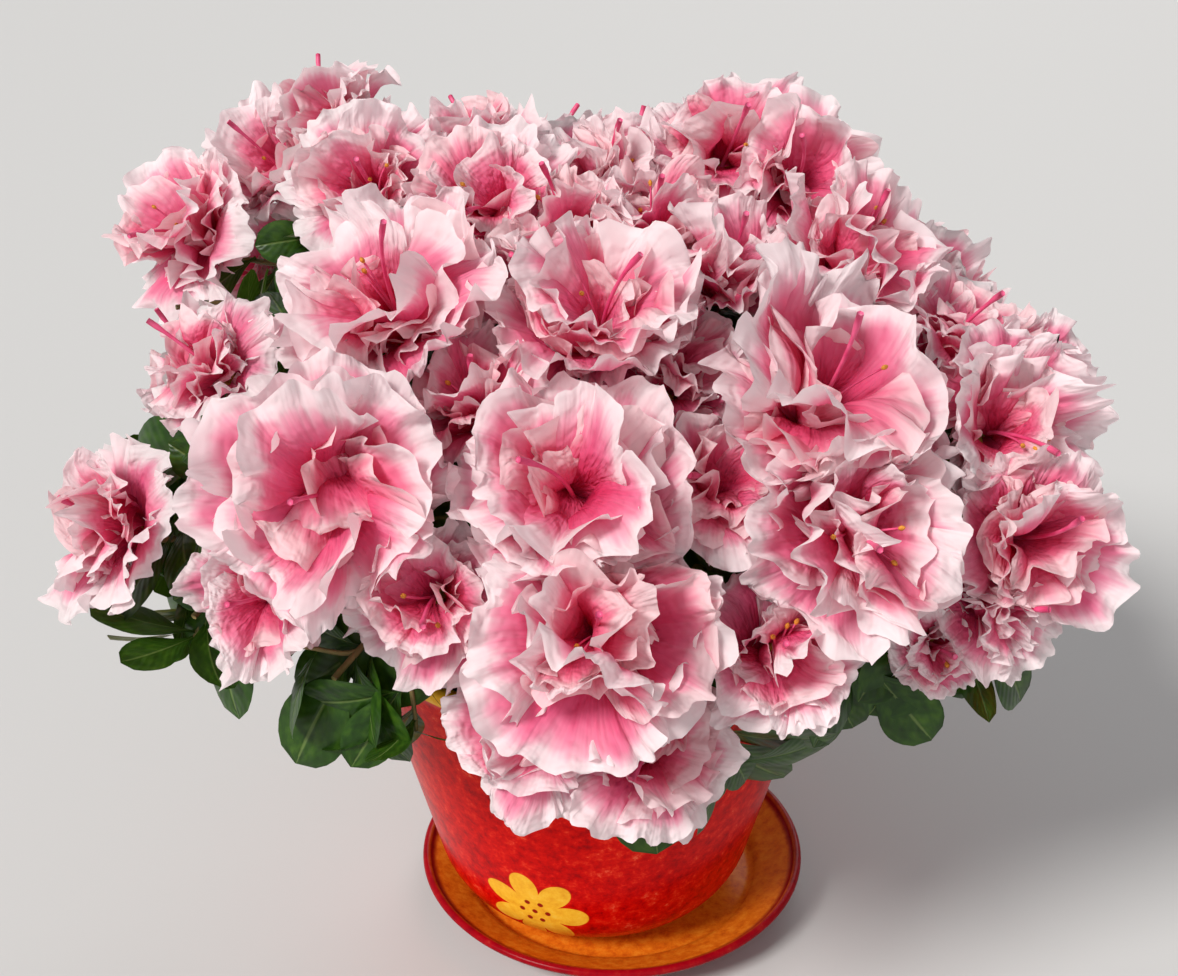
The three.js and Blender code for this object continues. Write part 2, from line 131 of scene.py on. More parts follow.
# Rings of petals from the outside in. Lengths are in parts of the bloom's half width: root is the place of
# a petal's root as reach and height, and scatter how far it strays. Rise is its slope at root, middle and
# rim, and roll how strongly its sides curl, each as a mean and a spread. Twist and lean are spreads, in
# degrees, of a petal's turn about its own length and of the whole ring's tilt. Flute, ruffle and crinkle are
# the heights of its long, short and shortest waves. Grid is the number of steps across and along, and kinds
# are the tiles that its colours come from.
PETAL_RINGS = {
    "outer": {
        "count": 5, "turn": 12, "length": 1.06, "width": 0.6, "root": (0.06, -0.22), "scatter": 0.01,
        "rise": ((60, 6), (26, 10), (-12, 18)), "roll": (0.1, 0.5), "twist": 7, "lean": 5,
        "flute": 0.07, "ruffle": 0.075, "crinkle": 0.045, "grid": (84, 8), "kinds": (0, 1, 2, 3),
    },
    "middle": {
        "count": 5, "turn": 48, "length": 0.9, "width": 0.54, "root": (0.05, -0.16), "scatter": 0.04,
        "rise": ((74, 8), (56, 14), (6, 28)), "roll": (0.8, 0.7), "twist": 14, "lean": 12,
        "flute": 0.08, "ruffle": 0.08, "crinkle": 0.05, "grid": (68, 7), "kinds": (1, 2, 4, 5),
    },
    "inner": {
        "count": 6, "turn": 20, "length": 0.68, "width": 0.44, "root": (0.08, -0.12), "scatter": 0.08,
        "rise": ((80, 10), (58, 16), (-10, 30)), "roll": (0.9, 0.8), "twist": 20, "lean": 18,
        "flute": 0.09, "ruffle": 0.08, "crinkle": 0.05, "grid": (56, 6), "kinds": (4, 5, 6, 7),
    },
}
# A petal is a fan of rays: the angle of its outermost rays, the share of its length up to its widest place,
# the half width of its claw, and how its width and the steps along it are spaced.
FAN = {"sweep": 138, "widest": 0.56, "claw": 0.06, "spread": 1.3, "spacing": 0.7}
# How single petals vary: in length, in width, by their tilt to one side as a mean and a spread, and by
# their turn about the bloom's face, both in degrees.
PETAL_VARIES = {"length": (0.82, 1.08), "width": (0.8, 1.15), "tilt": (8, 5), "turn": 10}
# Groove along the middle of a petal: its depth and half width.
PETAL_GROOVE = {"depth": 0.04, "half": 0.06}
# Numbers of the waves across a petal, from the slowest to the fastest: of its lobes and flutes for the whole
# petal, and of the finer ones for each ten steps across its grid.
PETAL_WAVES = {
    "lobe": (0.8, 2.6), "flute": (0.9, 2.6), "ragged": (0.9, 1.8), "ruffle": (0.5, 1.0),
    "crinkle": (1.1, 1.9),
}
# How deep the lobes and the ragged edge cut into a petal's outline.
PETAL_EDGE = {"lobe": 0.07, "ragged": 0.03}
# The power of the way along a petal by which its waves grow towards the rim.
PETAL_FADE = {"ragged": 6, "flute": 1.8, "ruffle": 4.5, "crinkle": 8}
# A bloom's petals are crumpled together by one field of waves: their length, height and number.
CRUMPLE = {"length": 0.55, "height": 0.045, "waves": 8}

# How far neighbouring blooms may reach past the plane between them, how near a neighbour counts, the share
# of the way to a plane where petals begin to give way, how much they rise as they do, and how unevenly, over
# waves of which length and number, so that their edge stays wavy.
PRESS = {
    "overlap": 8.0, "near": 1.4, "from": 0.72, "rise": 0.3, "uneven": 0.25, "wave_length": 0.4, "waves": 8,
}

# Style and stamens: their length and how far their tips lean, in parts of the bloom's half width, how much
# of the lean comes early, and their thickness in millimetres. A bloom has fewer stamens than the limit.
STYLE = {"length": (0.55, 0.95), "lean": (0.0, 0.4), "bend": 0.1}
STYLE_RADII = (0.7, 0.65, 0.6, 0.55, 0.55, 0.55, 0.55, 0.6, 0.95, 0.9)
STAMEN = {"length": (0.35, 0.55), "lean": (0.05, 0.3), "bend": 0.2, "thick": 0.32, "limit": 4}
ANTHER_RADII = (0.3, 0.6, 0.7, 0.6, 0.25)

# Leaves: blades in whorls under the blooms, at the leafy tips, and some lower down the twigs and stems.
# Groove, bulge and droop are the least and the most of them, and edge is the height of the margin's waves.
LEAF = {
    "length": 35, "width": 20, "petiole": 0.1, "grid": (8, 12), "apart": 1.8, "groove": (0.14, 0.3),
    "bulge": (0.1, 0.3), "droop": (0.1, 0.8), "edge": 0.2,
}
# How single leaves vary: in size, width, the pace of the margin's waves, and degrees of spread.
LEAF_VARIES = {"size": (0.75, 1.12), "width": (0.9, 1.1), "edge_waves": (10, 14), "spread": 9}
# Whorls: how many leaves, how far they spread from the twig in degrees, and their size. The rest are places:
# below the bloom, steps or shares along the twig, and how far a leafy tip's whorl lies inside the tip.
WHORL = {"leaves": 5, "spread": 74, "size": 1.0, "below": 8}
LOW_WHORL = {"leaves": 3, "spread": 84, "size": 0.85, "step": 3}
STEM_WHORL = {"leaves": 5, "spread": 78, "size": 1.0, "at": (1.0, 0.3)}
TIP = {"leaves": 7, "spread": 62, "size": 1.0, "inset": 16, "root": (0.3, 0.7), "thick": (1.1, 0.9)}
SIDE_TIP = {"leaves": 5, "spread": 60, "size": 0.78, "steps": (4, 6)}
SIDE_TWIG = {"lean": 48, "length": (14, 22), "thick": (0.8, 0.6)}

# Space of a bloom that leaves keep out of: a dish, in parts of the bloom's half width.
BLOOM_SPACE = {"reach": 1.02, "bottom": -0.3, "slope": 0.42, "top": 0.7}
# How far leaves and twigs stay clear of the pot, in millimetres.
POT_CLEAR = {"wall": 1.5, "rim": 1}

# Both blades and petals take their colours from a sheet of tiles, one tile for each kind.
TILES = (4, 2)
TILE_FILL = 0.94
TILE_MAP = "OFBake"

# Painted flower on the pot: where it lies, its size and that of its dots, in millimetres.
MOTIF = {"azimuth": -20.5, "height": 27, "petals": 7, "size": 18.5, "dots": 6, "ring": 4.6, "dot": 1.0}

# The viewpoint: the eye's place in metres, its tilt from straight down in degrees, and the sensor and lens
# in millimetres.
CAMERA = {"place": (-0.002, -0.423, 0.345), "tilt": 66.1, "sensor": 36, "lens": 42.8}
# Lamps: the way towards each, the angle that it spreads over, its strength and its colour.
LAMPS = {
    "key": ((-0.8, -0.72, 0.95), 18, 3.2, (1, 0.98, 0.95)),
    "fill": ((0.3, -1.0, 0.3), 60, 0.4, (1, 0.98, 0.97)),
    "back": ((0.3, 1.1, 0.75), 35, 0.7, (1, 1, 1)),
}
# The floor's half width in metres and its colour, and the colour and strength of the light all around.
ROOM = {"half": 12.0, "floor": (204, 204, 203), "air": (226, 224, 226), "glow": 0.4}


def unit(vector):
    return vector / np.linalg.norm(vector)


def blend(start, end, share):
    return start + (end - start) * share


class Shape:
    """Points and faces gathered from many grids."""

    def __init__(self):
        self.points = []
        self.sheet = []
        self.quads = []
        self.triangles = []
        self.count = 0

    def add_grid(self, points, sheet=None, closed=False):
        """Adds a grid of points, whose rows close on themselves where it is a tube."""
        rows, columns = points.shape[:2]
        index = self.count + np.arange(rows * columns).reshape(rows, columns)
        if closed:
            index = np.concatenate([index, index[:, :1]], axis=1)
        corners = [index[:-1, :-1], index[:-1, 1:], index[1:, 1:], index[1:, :-1]]
        self.quads.append(np.stack(corners, axis=-1).reshape(-1, 4))
        self.points.append(points.reshape(-1, 3))
        if sheet is not None:
            self.sheet.append(sheet.reshape(-1, 2))
        self.count += rows * columns
        return index

    def add_cap(self, ring, centre, flip=False):
        """Closes a tube's end with a fan."""
        self.points.append(np.asarray(centre, float).reshape(1, 3))
        fan = np.stack([ring[:-1], ring[1:], np.full(len(ring) - 1, self.count)], axis=-1)
        self.triangles.append(fan[:, ::-1] if flip else fan)
        self.count += 1

    def make(self, name, material, slot, nodes):
        """Makes the piece that stands for the named nodes of the frame."""
        points = np.concatenate(self.points) * MM
        quads = np.concatenate(self.quads)
        triangles = np.concatenate(self.triangles or [np.zeros((0, 3), int)])
        corners = np.concatenate([quads.ravel(), triangles.ravel()])
        sizes = np.concatenate([np.full(len(quads), 4), np.full(len(triangles), 3)])
        mesh = bpy.data.meshes.new(name)
        mesh.vertices.add(len(points))
        mesh.vertices.foreach_set("co", points.ravel())
        mesh.loops.add(len(corners))
        mesh.loops.foreach_set("vertex_index", corners)
        mesh.polygons.add(len(sizes))
        mesh.polygons.foreach_set("loop_start", np.concatenate([[0], np.cumsum(sizes)[:-1]]))
        mesh.polygons.foreach_set("use_smooth", np.ones(len(sizes), bool))
        if self.sheet:
            layer = mesh.uv_layers.new(name=TILE_MAP)
            layer.uv.foreach_set("vector", np.concatenate(self.sheet)[corners].ravel())
        mesh.update(calc_edges=True)
        mesh.materials.append(material)
        piece = bpy.data.objects.new(name, mesh)
        bpy.context.scene.collection.objects.link(piece)
        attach(piece, "root")
        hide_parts(*nodes)
        return piece


def add_tube(shape, path, radii, sides=6):
    """A tube along a path, closed at both ends."""
    path = np.asarray(path, float)
    along = np.gradient(path, axis=0)
    along /= np.linalg.norm(along, axis=1, keepdims=True)
    aside = np.eye(3)[np.argmin(np.abs(along.mean(axis=0)))]
    side = np.cross(along, aside)
    side /= np.linalg.norm(side, axis=1, keepdims=True)
    over = np.cross(along, side)
    angle = np.arange(sides) * 2 * np.pi / sides
    radii = np.broadcast_to(radii, (len(path),)) if np.ndim(radii) < 2 else radii
    radii = radii.reshape(len(path), -1, 1)
    ring = side[:, None] * np.cos(angle)[None, :, None] + over[:, None] * np.sin(angle)[None, :, None]
    index = shape.add_grid(path[:, None] + ring * radii, closed=True)
    shape.add_cap(index[0], path[0])
    shape.add_cap(index[-1], path[-1], flip=True)


def curve(points, steps):
    """A Bezier curve through its end points, as many points as steps say."""
    share = np.linspace(0, 1, steps + 1)[:, None]
    points = [np.asarray(point, float)[None] for point in points]
    while len(points) > 1:
        points = [blend(a, b, share) for a, b in zip(points, points[1:])]
    return points[0]


def tile_place(kind, across, along):
    """Place on the sheet of tiles: across runs from -1 to 1 and along from 0 to 1."""
    column, row = kind % TILES[0], kind // TILES[0]
    x = (column + 0.5 + across * TILE_FILL / 2) / TILES[0]
    y = (row + 0.5 + (along - 0.5) * TILE_FILL) / TILES[1]
    return np.stack(np.broadcast_arrays(x, y), axis=-1)


class Waves:
    """A smooth field of moves made of a few random waves."""

    def __init__(self, random, length, count=6):
        self.ways = random.normal(size=(count, 3))
        self.ways *= 2 * np.pi / length / np.linalg.norm(self.ways, axis=1, keepdims=True)
        self.moves = random.normal(size=(count, 3)) / np.sqrt(count)
        self.start = random.uniform(0, 2 * np.pi, count)

    def at(self, points):
        return np.sin(points @ self.ways.T + self.start) @ self.moves


# Layout of the plant
def direction(azimuth, elevation):
    level = np.cos(elevation * DEGREE)
    return np.array([
        np.sin(azimuth * DEGREE) * level, -np.cos(azimuth * DEGREE) * level, np.sin(elevation * DEGREE),
    ])


def crown_point(azimuth, elevation, stand):
    x, y, z = way = direction(azimuth, elevation)
    tilt = CROWN["tilt"] * DEGREE
    level = np.array([x, y * np.cos(tilt) + z * np.sin(tilt), z * np.cos(tilt) - y * np.sin(tilt)])
    share = np.abs(level / CROWN["half"]) ** CROWN["power"]
    return np.array(CROWN["centre"]) + way * (share.sum() ** (-1 / CROWN["power"]) + stand)


def lay_bloom(row, faced_from):
    azimuth, elevation, width, stand = row
    heart = crown_point(azimuth, elevation, stand)
    face = unit(heart - np.array(faced_from))
    side = unit(np.cross(face, UP))
    return {
        "heart": heart, "half": width / 2, "face": face, "side": side, "over": np.cross(side, face),
        "elevation": elevation,
    }


def lay_truss(name, part, rows, trunk_foot):
    blooms = [lay_bloom(row, FACED_FROM[part]) for row in rows]
    middle = np.mean([bloom["heart"] for bloom in blooms], axis=0)
    elevation = np.mean([bloom["elevation"] for bloom in blooms])
    rise = np.clip((elevation - BOUGH["lowest"]) / BOUGH["span"], 0, 1)
    leave = UP * (trunk_foot + blend(BOUGH["low"], BOUGH["high"], rise))
    inward = unit(leave - middle)
    fork = middle + inward * STEM["depth"]
    along = unit(unit(np.mean([bloom["face"] for bloom in blooms], axis=0)) - inward)
    foot = fork - along * STEM["length"]
    return {
        "name": name, "part": part, "blooms": blooms, "fork": fork, "foot": foot, "along": along,
        "leave": leave,
    }


def fence(bloom, blooms, limits):
    """The planes that a bloom keeps inside of: towards each other bloom, and the frame's own box."""
    others = [other for other in blooms if other is not bloom]
    across = np.array([other["heart"] - bloom["heart"] for other in others])
    far = np.linalg.norm(across, axis=1)
    share = np.array([bloom["half"] / (bloom["half"] + other["half"]) for other in others])
    near = far * share < bloom["half"] * PRESS["near"]
    low, high = limits
    ways = np.concatenate([across[near] / far[near, None], np.eye(3), -np.eye(3)])
    near_reach = (far * share)[near] + PRESS["overlap"]
    reach = np.concatenate([near_reach, high - bloom["heart"], bloom["heart"] - low])
    return ways, reach


def press(points, bloom, walls):
    """Bends points, given from the bloom's heart, back from the planes around it."""
    uneven = 1 - PRESS["uneven"] * (0.5 + 0.5 * np.tanh(bloom["uneven"].at(points)[..., 0] * 1.5))
    for way, reach in zip(*walls):
        start = reach * PRESS["from"] * uneven
        room = reach * (1 - PRESS["from"])
        past = np.maximum(points @ way - start, 0)
        back = past - room * (1 - np.exp(-past / room))
        points = points - back[..., None] * (way - bloom["face"] * PRESS["rise"])
    return points


# Blooms
def wavy(random, u, slowest, fastest, drift=0.0):
    """An irregular wavy line across a petal, whose waves number from slowest to fastest."""
    line = 0
    for number in np.linspace(slowest, fastest, 4):
        number = number * random.uniform(0.85, 1.15)
        line = line + np.sin(np.pi * number * (u + drift) + random.uniform(0, 2 * np.pi)) / 2 ** 0.5
    return np.tanh(line)


def petal(form, random):
    """One petal as reach, height and place across, in parts of the bloom's half width."""
    columns, rows = form["grid"]
    u = np.linspace(-1, 1, columns + 1)[None, :]
    v = np.linspace(0, 1, rows + 1)[:, None] ** FAN["spacing"]

    def waves(name, many=1, drift=0.0):
        slowest, fastest = PETAL_WAVES[name]
        return wavy(random, u, slowest * many, fastest * many, drift)

    length = form["length"] * random.uniform(*PETAL_VARIES["length"])
    width = form["width"] * random.uniform(*PETAL_VARIES["width"])
    angle = u * FAN["sweep"] * DEGREE
    fine = columns / 10
    scallop = 1 + PETAL_EDGE["ragged"] * waves("ragged", fine) * v ** PETAL_FADE["ragged"]
    scallop = scallop + PETAL_EDGE["lobe"] * waves("lobe")
    x = FAN["claw"] * u + (width * np.sin(angle) * scallop - FAN["claw"] * u) * v ** FAN["spread"]
    y = length * (FAN["widest"] + (1 - FAN["widest"]) * np.cos(angle)) * scallop * v

    lift = form["flute"] * waves("flute", drift=0.15 * v) * v ** PETAL_FADE["flute"]
    lift = lift + form["ruffle"] * waves("ruffle", fine, 0.04 * v) * v ** PETAL_FADE["ruffle"]
    lift = lift + form["crinkle"] * waves("crinkle", fine) * v ** PETAL_FADE["crinkle"]
    groove = np.exp(-(x / PETAL_GROOVE["half"]) ** 2) * v * (1 - 0.6 * v)
    lift = lift - PETAL_GROOVE["depth"] * groove

    roll = random.normal(*form["roll"])
    roll = np.copysign(max(abs(roll), 0.05), roll)
    lift = lift + (1 - np.cos(roll * x)) / roll
    x = np.sin(roll * x) / roll
    lean = (random.normal(*PETAL_VARIES["tilt"]) + random.normal(0, form["twist"]) * v) * DEGREE
    x, lift = x * np.cos(lean) - lift * np.sin(lean), x * np.sin(lean) + lift * np.cos(lean)

    share = np.linspace(0, 1, 49)
    root, middle, rim = (random.normal(*angles) for angles in form["rise"])
    slope = (root * (1 - share) ** 2 + 2 * middle * share * (1 - share) + rim * share ** 2) * DEGREE
    step = length / (len(share) - 1)
    run = np.concatenate([[0], np.cumsum(np.cos(slope[:-1]))]) * step
    climb = np.concatenate([[0], np.cumsum(np.sin(slope[:-1]))]) * step
    at = np.clip(y / length, 0, 1)
    local = np.interp(at, share, slope)
    reach = form["root"][0] + np.interp(at, share, run) - np.sin(local) * lift
    height = form["root"][1] + np.interp(at, share, climb) + np.cos(local) * lift
    return reach, height, x, u, v


def add_petals(shapes, bloom, walls, random):
    """The rings of petals of one bloom."""
    crumple = Waves(random, CRUMPLE["length"] * bloom["half"], CRUMPLE["waves"])
    bloom["uneven"] = Waves(random, PRESS["wave_length"] * bloom["half"], PRESS["waves"])
    stray = PETAL_VARIES["turn"]
    for ring, form in PETAL_RINGS.items():
        start = form["turn"] + random.uniform(-stray, stray)
        lean_side, lean_over = random.normal(0, form["lean"] * DEGREE, 2)
        face = unit(bloom["face"] + bloom["side"] * lean_side + bloom["over"] * lean_over)
        for i in range(form["count"]):
            reach, height, across, u, v = petal(form, random)
            turn = (start + 360 * i / form["count"] + random.normal(0, stray)) * DEGREE
            out = bloom["over"] * np.cos(turn) + bloom["side"] * np.sin(turn)
            beside = unit(np.cross(face, out))
            out = np.cross(beside, face)
            place = reach[..., None] * out + across[..., None] * beside + height[..., None] * face
            place = place + random.normal(0, form["scatter"], 3)
            place = place * bloom["half"]
            place = place + crumple.at(place) * v[..., None] * CRUMPLE["height"] * bloom["half"]
            kind = random.choice(form["kinds"])
            points = press(place, bloom, walls) + bloom["heart"]
            shapes[ring].add_grid(points, tile_place(kind, u, v))


def add_threads(shapes, bloom, walls, random):
    """The style, with its knobbed tip, and a few stamens with their anthers."""
    def grow(form):
        length = random.uniform(*form["length"])
        lean = random.uniform(*form["lean"])
        turn = random.uniform(0, 2 * np.pi)
        aside = bloom["side"] * np.cos(turn) + bloom["over"] * np.sin(turn)
        tip = bloom["face"] * length + aside * lean
        knee = bloom["face"] * length * 0.55 + aside * lean * form["bend"]
        path = curve([bloom["face"] * -0.1, knee, tip], 9) * bloom["half"]
        return press(path, bloom, walls) + bloom["heart"]

    add_tube(shapes["styles"], grow(STYLE), np.array(STYLE_RADII))
    for _ in range(random.integers(0, STAMEN["limit"])):
        path = grow(STAMEN)
        add_tube(shapes["styles"], path, STAMEN["thick"], sides=4)
        way = unit(path[-1] - path[-2])
        anther = path[-1] + way * np.linspace(-0.9, 0.9, len(ANTHER_RADII))[:, None]
        add_tube(shapes["anthers"], anther, np.array(ANTHER_RADII), sides=6)


# Twigs and leaves
def inside_bloom(points, blooms):
    """Whether any of the points lies in the space of a bloom."""
    dish = BLOOM_SPACE
    for bloom in blooms:
        place = (points - bloom["heart"]) / bloom["half"]
        height = place @ bloom["face"]
        reach = np.linalg.norm(place - height[:, None] * bloom["face"], axis=1)
        over_dish = height > dish["bottom"] + dish["slope"] * reach
        if np.any((reach < dish["reach"]) & over_dish & (height < dish["top"])):
            return True
    return False


def inside_pot(points, pot):
    """Whether any of the points touches the pot or the compost."""
    low, high = pot
    reach = np.linalg.norm(points[:, :2], axis=1)
    share = np.clip((points[:, 2] - low[2]) / (high[2] - low[2]), 0, 1)
    wall = blend(POT["belly"], high[0], share) + POT_CLEAR["wall"]
    return bool(np.any((points[:, 2] < high[2] + POT_CLEAR["rim"]) & (reach < wall)))


def leaf(root, along, upper, size, random):
    """One blade, with a groove along its midrib, bulging halves, a drooping tip and a wavy edge."""
    columns, rows = LEAF["grid"]
    u = np.linspace(-1, 1, columns + 1)[None, :]
    v = np.linspace(0, 1, rows + 1)[:, None]
    length = LEAF["length"] * size
    width = LEAF["width"] * size * random.uniform(*LEAF_VARIES["width"])
    blade = np.clip((v - LEAF["petiole"]) / (1 - LEAF["petiole"]), 0, 1)
    outline = np.sin(np.pi * blade ** 1.3) ** 0.58
    half = np.maximum(outline * width / 2, 0.55 * (1 - v) + 0.12)
    x = u * half
    groove = random.uniform(*LEAF["groove"])
    bulge = random.uniform(*LEAF["bulge"])
    lift = groove * np.abs(x) - bulge * 2 * x ** 2 / width
    edge = np.sin(v * random.uniform(*LEAF_VARIES["edge_waves"]) + np.sign(u) * 1.5) * np.abs(u) ** 3
    lift = lift + LEAF["edge"] * edge
    droop = random.uniform(*LEAF["droop"])
    slope = -droop * np.linspace(0, 1, rows + 1) ** 1.3
    run = np.concatenate([[0], np.cumsum(np.cos(slope[:-1]))])[:, None] * length / rows
    drop = np.concatenate([[0], np.cumsum(np.sin(slope[:-1]))])[:, None] * length / rows
    tilt = slope[:, None]
    across = unit(np.cross(along, upper))
    over = np.cross(across, along)
    out = run - np.sin(tilt) * lift
    height = drop + np.cos(tilt) * lift
    points = root + out[..., None] * along + x[..., None] * across + height[..., None] * over
    return points, tile_place(int(random.integers(0, TILES[0] * TILES[1])), u, v)


def whorl(axis, count, spread, random):
    """Directions of a whorl's leaves, spread evenly about an axis."""
    side = unit(np.cross(axis, UP if abs(axis[2]) < 0.9 else np.array([1.0, 0, 0])))
    over = np.cross(axis, side)
    turn = 2 * np.pi * (random.uniform() + (np.arange(count) + random.uniform(0, 0.4, count)) / count)
    stray = LEAF_VARIES["spread"]
    opened = (spread + random.uniform(-stray, stray, count)) * DEGREE
    aside = [side * np.cos(t) + over * np.sin(t) for t in turn]
    return [axis * np.cos(a) + way * np.sin(a) for a, way in zip(opened, aside)]


def add_whorl(shapes, plant, twig_way, tip, axis, form, random):
    """Puts leaves one above the other on a twig, up to its tip, wherever they have room."""
    for i, along in enumerate(whorl(axis, form["leaves"], form["spread"], random)):
        root = tip - twig_way * LEAF["apart"] * i
        size = form["size"] * random.uniform(*LEAF_VARIES["size"])
        points, sheet = leaf(root, along, axis, size, random)
        probes = points[2:, ::4].reshape(-1, 3)
        blocked = inside_bloom(probes, plant["blooms"]) or inside_pot(probes, plant["pot"])
        low, high = plant["limits"]
        if not blocked and np.all(probes > low) and np.all(probes < high):
            shapes["leaves"].add_grid(points, sheet)


def add_twig(shapes, start, start_way, end, end_way, thick_from, thick_to):
    """A twig that leaves one way and arrives another."""
    reach = np.linalg.norm(end - start)
    path = curve([start, start + start_way * reach * 0.35, end - end_way * reach * 0.35, end], 8)
    add_tube(shapes["twigs"], path, np.linspace(thick_from, thick_to, len(path)))
    return path


def add_leafy_tip(shapes, plant, row, random):
    """A twig from the nearest stem to a leafy tip, with two smaller side twigs."""
    azimuth, elevation, stand = row
    goal = crown_point(azimuth, elevation, stand - TIP["inset"])
    truss = min(plant["trusses"], key=lambda one: np.linalg.norm(one["fork"] - goal))
    root = blend(truss["foot"], truss["fork"], random.uniform(*TIP["root"]))
    along = unit(goal - root)
    path = add_twig(shapes, root, along, goal, along, *TIP["thick"])
    axis = unit(direction(azimuth, elevation) + along)
    add_whorl(shapes, plant, along, goal, axis, TIP, random)
    for step in SIDE_TIP["steps"]:
        way = whorl(along, 3, SIDE_TWIG["lean"], random)[0]
        end = path[step] + way * random.uniform(*SIDE_TWIG["length"])
        if not inside_bloom(end[None], plant["blooms"]) and not inside_pot(end[None], plant["pot"]):
            add_twig(shapes, path[step], along, end, way, *SIDE_TWIG["thick"])
            add_whorl(shapes, plant, way, end, way, SIDE_TIP, random)


def add_bloom_twigs(shapes, plant, truss, bloom, random):
    """The stalk of a bloom, its calyx, and the whorl of leaves below it."""
    base = bloom["heart"] - bloom["face"] * CALYX["below"] * bloom["half"]
    along = unit(base - truss["fork"])
    path = add_twig(shapes, truss["fork"], along, base, bloom["face"], STALK_THICK, STALK_THICK * 0.9)
    tip = base - along * WHORL["below"]
    add_whorl(shapes, plant, along, tip, bloom["face"], WHORL, random)
    add_whorl(shapes, plant, along, path[LOW_WHORL["step"]], bloom["face"], LOW_WHORL, random)
    for way in whorl(bloom["face"], CALYX["scales"], CALYX["spread"], random):
        bract = base + way * CALYX["length"]
        add_tube(shapes["bracts"], np.linspace(base, bract, 4), np.array([0.7, 1.5, 1.2, 0.2]), sides=5)


def trunk_surface(trunk_foot, random):
    """The trunk, with its root flare, its lean and the furrows of its bark."""
    rings = [
        (0, TRUNK["foot"]), (TRUNK["flare"] * 0.3, TRUNK["foot"] * 0.8), (TRUNK["flare"], TRUNK["neck"]),
        (TRUNK["height"] * 0.6, (TRUNK["neck"] + TRUNK["top"]) / 2), (TRUNK["height"], TRUNK["top"]),
        (TRUNK["height"] + 3, TRUNK["top"] * 0.5),
    ]
    height = np.linspace(0, TRUNK["height"] + 3, 40)
    radius = np.interp(height, *np.array(rings).T)[:, None]
    angle = (np.arange(64) * 2 * np.pi / 64)[None, :]
    furrow = sum(
        np.sin(number * angle + 0.06 * number * height[:, None] + random.uniform(0, 6)) / number ** 0.4
        for number in (5, 9, 14, 22)
    )
    radius = radius * (1 + 0.06 * np.cos(3 * angle)) - 0.35 * np.abs(furrow) * np.minimum(radius / 6, 1)
    lean = height[:, None] / TRUNK["height"]
    x = radius * np.cos(angle) + TRUNK["lean"][0] * lean
    y = radius * np.sin(angle) + TRUNK["lean"][1] * lean
    return np.stack([x, y, height[:, None] + trunk_foot + 0 * angle], axis=-1)


def add_bough(shape, truss, random):
    """One bough from the trunk to the stem of its mass, with knots and furrows."""
    end = truss["foot"] - truss["along"] * 0.3
    bend = end - truss["along"] * 0.45 * np.linalg.norm(end - truss["leave"])
    path = curve([truss["leave"], bend, end], 30)
    share = np.linspace(0, 1, len(path))[:, None]
    angle = (np.arange(12) * np.pi / 6)[None, :]
    knots = 1 + 0.07 * np.sin(share * 40 + random.uniform(0, 6)) + 0.05 * np.sin(3 * angle + share * 25)
    add_tube(shape, path, blend(BOUGH["thick"], BOUGH["thin"], share) * knots, sides=12)


def grow_plant(materials):
    """Grows every mass of the frame, and makes one piece for each kind of thing in it."""
    random = np.random.default_rng(SEED)
    pot = tuple(np.array(corner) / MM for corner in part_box("pot"))
    limits = tuple(np.array(corner) / MM for corner in cad_box)
    trunk_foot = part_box("trunk")[0].z / MM
    trusses = [
        lay_truss(name, part, rows, trunk_foot)
        for part, group in TRUSSES.items() for name, rows in group.items()
    ]
    blooms = [bloom for truss in trusses for bloom in truss["blooms"]]
    plant = {"trusses": trusses, "blooms": blooms, "pot": pot, "limits": limits}
    nodes = {
        part: [f"truss_{truss['name']}" for truss in trusses if truss["part"] == part] for part in TRUSSES
    }
    masses = [name for names in nodes.values() for name in names]

    shared = {name: Shape() for name in ("styles", "anthers", "twigs", "leaves", "bracts", "wood")}
    for part in TRUSSES:
        shapes = {**shared, **{ring: Shape() for ring in PETAL_RINGS}}
        for truss in (one for one in trusses if one["part"] == part):
            add_bough(shapes["wood"], truss, random)
            foot, along, fork = truss["foot"], truss["along"], truss["fork"]
            add_twig(shapes, foot, along, fork, along, BOUGH["thin"], STEM["thick"])
            for bloom in truss["blooms"]:
                walls = fence(bloom, blooms, limits)
                add_petals(shapes, bloom, walls, random)
                add_threads(shapes, bloom, walls, random)
                add_bloom_twigs(shapes, plant, truss, bloom, random)
        for ring in PETAL_RINGS:
            shapes[ring].make(f"{ring}_petals_{part}", materials["petals"], "petals", nodes[part])
    for row in LEAFY_TIPS:
        add_leafy_tip(shared, plant, row, random)
    for truss in trusses:
        for share in STEM_WHORL["at"]:
            place = blend(truss["foot"], truss["fork"], share)
            add_whorl(shared, plant, truss["along"], place, truss["along"], STEM_WHORL, random)

    surface = trunk_surface(trunk_foot, random)
    index = shared["wood"].add_grid(surface, closed=True)
    shared["wood"].add_cap(index[0], surface[0].mean(axis=0))
    shared["wood"].add_cap(index[-1], surface[-1].mean(axis=0) + UP, flip=True)
    limbs = ["trunk"] + [f"bough_{truss['name']}" for truss in trusses]
    shared["wood"].make("bark", materials["bark"], "bark", limbs)
    shared["styles"].make("styles", materials["styles"], "petals", masses)
    shared["anthers"].make("anthers", materials["anthers"], "petals", masses)
    shared["bracts"].make("bracts", materials["bracts"], "leaves", masses)
    shared["twigs"].make("twigs", materials["twigs"], "bark", masses)
    shared["leaves"].make("leaves", materials["leaves"], "leaves", masses)


# Pot, saucer and compost
def arc(radius, height, size, start, end, steps):
    angle = np.linspace(start, end, steps + 1) * DEGREE
    return np.stack([radius + size * np.cos(angle), height + size * np.sin(angle)], axis=-1)


